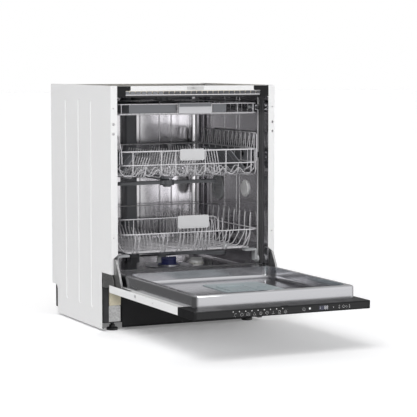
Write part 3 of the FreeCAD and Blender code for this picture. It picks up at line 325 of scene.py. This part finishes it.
def make_materials():
    """One surface for each material slot of the record."""
    upright, lengthwise = (60.0, 60.0, 1.0), (1.0, 60.0, 60.0)
    return {
        "white_paint": material("white_paint", (0.84, 0.84, 0.84), 0.38, spread=0.012, grain=420.0,
                                relief=0.00006, coat=0.25),
        "tub_steel": material("tub_steel", (0.66, 0.65, 0.67), 0.13, 1.0, grain=60.0, stretch=upright,
                              relief=0.00001, rough_spread=0.03, spread=0.03),
        "liner_steel": material("liner_steel", (0.53, 0.53, 0.55), 0.17, 1.0, grain=60.0,
                                stretch=lengthwise, relief=0.00001, rough_spread=0.03, spread=0.03),
        "galvanised_steel": material("galvanised_steel", (0.50, 0.50, 0.50), 0.42, 1.0, spread=0.22,
                                     patch=160.0, pattern="spangle"),
        "striker_steel": material("striker_steel", (0.62, 0.62, 0.62), 0.33, 1.0, grain=500.0),
        "rail_steel": material("rail_steel", (0.60, 0.60, 0.62), 0.22, 1.0, stretch=(60.0, 1.0, 60.0),
                               grain=50.0),
        "coated_wire": material("coated_wire", (0.70, 0.69, 0.71), 0.30, 0.40, spread=0.06, patch=30.0,
                                relief=0.00004),
        "grey_plastic": material("grey_plastic", (0.20, 0.205, 0.22), 0.42, spread=0.05),
        "light_grey_plastic": material("light_grey_plastic", (0.50, 0.51, 0.52), 0.40, spread=0.04),
        "arm_plastic": material("arm_plastic", (0.13, 0.135, 0.145), 0.38, spread=0.05),
        "silver_plastic": material("silver_plastic", (0.60, 0.60, 0.61), 0.34, 0.35, spread=0.03,
                                   relief=0.00003, coat=0.3),
        "tray_handle_plastic": material("tray_handle_plastic", (0.62, 0.62, 0.64), 0.36, spread=0.04,
                                        coat=0.2),
        "white_plastic": material("white_plastic", (0.78, 0.78, 0.78), 0.36, spread=0.02),
        "blue_plastic": material("blue_plastic", (0.018, 0.022, 0.085), 0.33, spread=0.08),
        "filter_steel": material("filter_steel", (0.50, 0.50, 0.52), 0.32, 1.0, patch=700.0,
                                 spread=0.35, pattern="spangle"),
        "dispenser_plastic": material("dispenser_plastic", (0.33, 0.38, 0.40), 0.35, spread=0.04),
        "black_plastic": material("black_plastic", (0.012, 0.012, 0.013), 0.45, spread=0.12, specular=0.18),
        "fascia_gloss": material("fascia_gloss", (0.010, 0.010, 0.011), 0.12, spread=0.10, grain=200.0,
                                 relief=0.000004, coat=0.15, specular=0.25),
        "display_glass": material("display_glass", (0.02, 0.022, 0.05), 0.08, spread=0.10, grain=200.0,
                                  relief=0.000002, coat=0.7, alpha=0.9),
        "board_green": material("board_green", (0.02, 0.13, 0.05), 0.35, spread=0.15, patch=90.0),
        "latch_plastic": material("latch_plastic", (0.08, 0.08, 0.085), 0.42, spread=0.08),
        "seal_rubber": material("seal_rubber", (0.075, 0.075, 0.078), 0.40, spread=0.10),
        "mat_felt": material("mat_felt", (0.72, 0.66, 0.50), 0.95, spread=0.25, patch=55.0, grain=1500.0,
                             relief=0.0006, sheen=0.3),
        "door_mat": material("door_mat", (0.07, 0.07, 0.07), 0.95, spread=0.25, patch=70.0,
                             grain=1500.0, relief=0.0005, sheen=0.2),
        "base_plastic": material("base_plastic", (0.020, 0.020, 0.022), 0.48, spread=0.12, grain=600.0,
                                 relief=0.00008),
        "pump_plastic": material("pump_plastic", (0.10, 0.10, 0.11), 0.45, spread=0.08),
        "tank_plastic": material("tank_plastic", (0.62, 0.62, 0.58), 0.45, spread=0.06, alpha=1.0),
        "foot_plastic": material("foot_plastic", (0.014, 0.014, 0.015), 0.45, spread=0.12),
    }


def dress_nodes(surfaces):
    """Give every CAD node the surface of its slot."""
    slots = {row["node"]: row["material_slot"] for row in frame["record"]["subparts"]}
    for name, node in NODES.items():
        node.data.materials.clear()
        node.data.materials.append(surfaces[slots[name]])


# ---- racks ----
THICK, WIRE, TINE, THIN = 2.6, 2.1, 1.5, 1.2    # wire radii
SHELF_X, SHELF_Z = 227, 528                     # the rods that the cup shelves turn on


def hoop(half, y0, y1, z, radius, bend):
    """A closed level wire around a rack."""
    return ([(-half, y0, z), (half, y0, z), (half, y1, z), (-half, y1, z)], radius, bend, True)


def upper_rack():
    """Wires of the upper rack: hoops, waved floor wires, hairpin sides and leaning tines."""
    half, y0, y1 = 248.0, 22.0, 488.0
    top, middle, low, rim = 598.0, 553.0, 510.0, 652.0
    flare = half + 6
    runs = [hoop(half, y0, y1, top, THICK, 26), hoop(half, y0, y1, middle, WIRE, 26)]
    for x in (-212, -110, -58, 50, 127, 222, 240):
        front = [(x, y0, top), (x, y0 + 1, low + 14), (x, y0 + 16, low)]
        runs.append((front + [(x, y1 - 16, low), (x, y1, low + 14), (x, y1, top)], WIRE, 10, False))
    for x in (-165, -15, 15, 85, 175):
        front = [(x, y0 + 4, middle), (x, y0 + 6, low + 12), (x, y0 + 20, low)]
        rear = [(x, y1 - 20, low), (x, y1 - 6, low + 12), (x, y1 - 4, middle)]
        runs.append((front + rear, WIRE, 8, False))
    for n in range(9):
        y = 50 + n * 51
        trough, crest = low + 5, low + (30 if n % 2 else 24)
        route = [(-half, y, top), (-half, y, low + 24), (-half + 16, y, low + 6)]
        for k in range(7):
            x = -192 + k * 60 + (n % 2) * 14
            route += [(x, y, trough), (x + 16, y, crest), (x + 26, y, crest), (x + 42, y, trough)]
        route += [(half - 16, y, low + 6), (half, y, low + 24), (half, y, top)]
        runs.append((route, TINE + 0.3, 6, False))
    for x, lean, height in ((-165, 24, 66), (-62, 14, 80), (26, 14, 80), (118, -16, 88)):
        for n in range(20):
            y = 46 + n * 21
            runs.append(([(x, y, low + 3), (x + lean, y, low + height)], TINE + 0.3, 1, False))
    for side in (-1, 1):
        foot, edge, tip, rod = side * half, side * flare, side * (flare - 1), side * SHELF_X
        runs.append(([(foot, y0 + 8, top - 40), (foot, y0 + 10, top), (edge, y0 + 22, rim - 8),
                      (edge, y0 + 34, rim), (edge, y1 - 34, rim), (edge, y1 - 22, rim - 8),
                      (foot, y1 - 10, top)], WIRE, 16, False))
        for n in range(13):
            y = 62 + n * 33
            runs.append(([(foot, y - 10, top), (tip, y - 1.5, rim - 2), (tip, y + 1.5, rim - 2),
                          (foot, y + 10, top)], TINE + 0.2, 2, False))
        runs.append(([(foot, 64, SHELF_Z + 14), (rod, 72, SHELF_Z), (rod, 424, SHELF_Z),
                      (foot, 432, SHELF_Z + 14)], 2.2, 6, False))
    piece = wires_piece("upper_rack_wires", runs, "upper_rack", "coated_wire")
    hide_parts("upper_basket")


def lower_rack():
    """Wires of the lower rack: a flared grid with hooked posts down its right side."""
    y0, y1, top, middle, low = 14.0, 492.0, 377.0, 326.0, 258.0
    half, foot = 252.0, 224.0
    runs = [hoop(half - 3, y0, y1, middle, WIRE, 34)]
    runs.append(([(half, y1 - 90, top), (half, y1, top), (-half, y1, top), (-half, y0, top), (92, y0, top),
                  (94, y0, middle)], THIN, 22, False))
    for x in (-214, -52, 52):
        runs.append(([(x, y0, middle), (x, y0, top)], THIN, 1, False))
    for x in (-206, -105, -46, 16, 49, 124, 200):
        for edge in (x, x + 14):
            route = []
            for y, inward in ((y0, 1), (y1, -1)):
                route.append([(edge, y, middle), (edge, y + 2 * inward, middle - 24),
                              (edge, y + 26 * inward, low + 4), (edge, y + 44 * inward, low)])
            runs.append((route[0] + route[1][::-1], WIRE, 10, False))
    for n in range(9):
        y = 84 + n * 42.0
        left = [(-half, y, top), (-half + 3, y, middle - 22), (-foot, y, low + 3.8)]
        right = [(foot, y, low + 3.8), (half - 3, y, middle - 22), (half - 3, y, top - 22)]
        runs.append((left + right + [(half + 1, y + 3, top)], WIRE, 9, False))
    for y, z in ((46, low + 4), (62, low + 4), (y1 - 46, low + 4)):
        runs.append(([(-foot, y, z), (foot, y, z)], WIRE, 1, False))
    short, tall = 62, 102
    for x, height in ((-178, short), (-134, short), (-90, short), (52, tall), (96, tall)):
        for n in range(14):
            y, tip = 54 + n * 29, low + height
            runs.append(([(x, y, low + 3), (x, y, tip - 24), (x - 6, y, tip)], TINE, 12, False))
    piece = wires_piece("lower_rack_wires", runs, "lower_rack", "coated_wire")
    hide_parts("lower_basket")


def cutlery_tray():
    """The tray's wires and its rollers."""
    half, y0, y1, low, high = 252.0, 46.0, 484.0, 721.0, 753.0
    runs = [hoop(half, y0, y1, high, WIRE, 8), hoop(half, y0, y1, low, WIRE, 8)]
    for x in (-243, -42, 86, 182, 240):
        runs.append(([(x, y0, low), (x, y0, high)], TINE, 1, False))
        runs.append(([(x, y1, low), (x, y1, high)], TINE, 1, False))
    for n in range(10):
        y, dip = 66 + n * 44, low - 3
        runs.append(([(-half, y, high), (-half, y, dip), (half, y, dip), (half, y, high)], TINE, 5, False))
    for x in (-200, -120, -40, 40, 120, 200):
        runs.append(([(x, y0, low - 0.6), (x, y1, low - 0.6)], TINE, 1, False))
    wires = wires_piece("tray_wires", runs, "cutlery_tray", "coated_wire")
    wheel = [(1.5, -0.2), (4.6, 0.0), (5.2, 0.8), (5.2, 8.4), (4.6, 9.3), (1.5, 9.5)]
    holder = [(5.8, 0), (5.8, 8), (2.5, 8.5), (2.5, 12)]
    axle_z, facets = 738, 28
    forms = []
    for side in (-1, 1):
        for y in (100, 430):
            forms.append(lathe((side * 259.5, y, axle_z), (side, 0, 0), wheel, facets))
            forms.append(lathe((side * 248.0, y, axle_z), (side, 0, 0), holder, facets))
    rollers = lathes_piece("tray_rollers", forms, "cutlery_tray", "light_grey_plastic")
    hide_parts("tray_frame")
    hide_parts("tray_frame")


# ---- cabinet details ----
def bead(x, y, low, high, radius):
    """An upright half-sunk bead on a wall."""
    return ([(x, y, low), (x, y, high)], radius, 2, False)


def tub_beads():
    """Pressed beads down the tub's back and side walls, and a pale bead at each side of its neck that
    paints the highlight on the tub's bend.
    """
    low, high = 232.0, 770.0
    runs = [bead(x, 535.6, low, high, 3.0) for x in (31, 108, 155, -120, -190)]
    runs += [bead(side * 272.6, y, low, high, 3.0) for y in (212, 236, 330, 444) for side in (-1, 1)]
    wires_piece("tub_beads", runs, "cabinet", "tub_steel")
    # Painted highlight: the tub's real bend at each side of its neck, drawn as a bead in pale silver
    # plastic whose pale colour stands for the highlight.
    edge = [bead(side * 272.2, 70.5, 215, 772, 3.2) for side in (-1, 1)]
    wires_piece("neck_highlight_bead", edge, "cabinet", "silver_plastic")


def painted_flange_shade():
    """Dark plates across the tub's top flange, with thin gaps between them: painted shade of the steel
    flange under the top rail, which shows through the gaps.
    """
    pitch = 20
    plates = [(at(-248 + pitch * n, 2.6, 785.6), at(-232.2 + pitch * n, 2.98, 796)) for n in range(25)]
    # Painted shade: grey plates at the left and near-black plates at the right, for the light falling off
    # along the flange.
    boxes_piece("flange_shade_plates_left", plates[:7], "cabinet", "grey_plastic")
    boxes_piece("flange_shade_plates_right", plates[7:], "cabinet", "latch_plastic")


def handle_band():
    """A dark grey band along the upper half of the tray's handle, and the screw in the door's side."""
    band = [(at(-37, 38.9, 743.5), at(81, 39.02, 754.5))]
    boxes_piece("tray_handle_band", band, "cutlery_tray", "grey_plastic")
    screw = lathe((-297.6, -193.4, 153.4), (-1, 0, 0), [(5.0, 0.0), (5.0, 0.2), (4.2, 0.36)], 24)
    lathes_piece("door_side_screw", [screw], "door", "striker_steel")


def disc(centre, radius, depth, sides=24):
    """A thin disc standing out of the door's free edge."""
    return lathe(centre, (0, -1, 0), [(radius, 0.0), (radius, depth)], sides)


def sign_ring(x, z, radius, start=0.0, turn=1.0, count=14):
    """A ring, or part of one, as (x, z) places on the strip."""
    angles = [math.tau * (start + turn * k / count) for k in range(count + 1)]
    return [(x + radius * math.cos(a), z + radius * math.sin(a)) for a in angles]


def sign_lines(x, z, *strokes):
    """Strokes given around a sign's centre, as (x, z) places on the strip."""
    return [[(x + dx, z + dz) for dx, dz in stroke] for stroke in strokes]


def programme_signs():
    """Nine plain programme pictures, evenly spaced, then the power sign and three at the right."""
    z = 147.0
    xs = [-164.0 + 20.9 * n for n in range(9)]
    signs = [sign_ring(xs[0], z, 4.6, 0.12, 0.7), sign_ring(xs[1], z, 4.6)]
    signs += sign_lines(xs[2], z, [(-5, -4), (5, -4), (5, 4), (-5, 4), (-5, -4)], [(-3, 0), (3, 0)])
    signs += sign_lines(xs[3], z, [(-5, -4), (0, 5), (5, -4), (-5, -4)])
    signs += [sign_ring(xs[4], z, 4.6)] + sign_lines(xs[4], z, [(0, -5), (0, 5)])
    signs += [sign_ring(xs[5], z, 4.8)] + sign_lines(xs[5], z, [(-5, 0), (5, 0)])
    signs += sign_lines(xs[6], z, [(0, -4), (0, 5)], [(-4, -4), (4, -4)])
    signs += [sign_ring(xs[7], z + 1, 3.8)] + sign_lines(xs[7], z, [(-5, -5), (5, -5)])
    signs += [sign_ring(xs[8], z, 4.8), sign_ring(xs[8], z, 1.6)]
    z = 150.0
    signs += [sign_ring(66, z, 4.4, 0.32, 0.86)] + sign_lines(66, z, [(0, 0), (0, 5)])
    for x in (188, 224):
        signs += sign_lines(x, z, [(0, -6), (0, 6)], [(-3, -3), (3, -3)], [(-3, 3), (3, 3)])
    return signs + [sign_ring(203, z, 4.0), sign_ring(213, z, 2.6)]


def panel_marks():
    """Signs on the glossy strip: lamps, plain pictures of programmes, and the display's digits."""
    face = (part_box("control_fascia")[0][1] - FLANGE_Y) / MM
    proud, sunk = 0.08, 0.82
    lamps = [disc((-172 + 20.7 * n, face, 157), 1.5, proud) for n in range(9)]
    lamps += [disc((86, face, 151), 3.4, proud), disc((168, face, 150), 1.1, proud)]
    lathes_piece("panel_lamps", lamps, "door", "white_plastic")
    runs = [([(x, face + sunk, z) for x, z in sign], 0.9, 0.5, False) for sign in programme_signs()]
    wires_piece("panel_signs", runs, "door", "white_plastic")

    glow, depth = (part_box("control_display")[0][1] - FLANGE_Y) / MM, 0.1
    across, upright = (1.5, 0.5), (0.5, 1.8)
    bars = [(0, 155.2, across), (0, 150.5, across), (0, 145.8, across), (-2, 152.9, upright),
            (2, 152.9, upright), (-2, 148.1, upright), (2, 148.1, upright)]
    segments = []
    for x in (139.0, 146.0):
        for dx, z, (w, h) in bars:
            segments.append((at(x + dx - w, glow - depth, z - h), at(x + dx + w, glow, z + h)))
    for z in (148.2, 152.8):
        segments.append((at(121.5, glow - depth, z - 0.8), at(123.1, glow, z + 0.8)))
    boxes_piece("display_digits", segments, "door", "white_plastic")


def make_pieces():
    """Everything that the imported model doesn't show by itself."""
    upper_rack()
    lower_rack()
    cutlery_tray()
    tub_beads()
    painted_flange_shade()
    handle_band()
    panel_marks()


make_studio()
SURFACES = make_materials()
dress_nodes(SURFACES)
make_pieces()
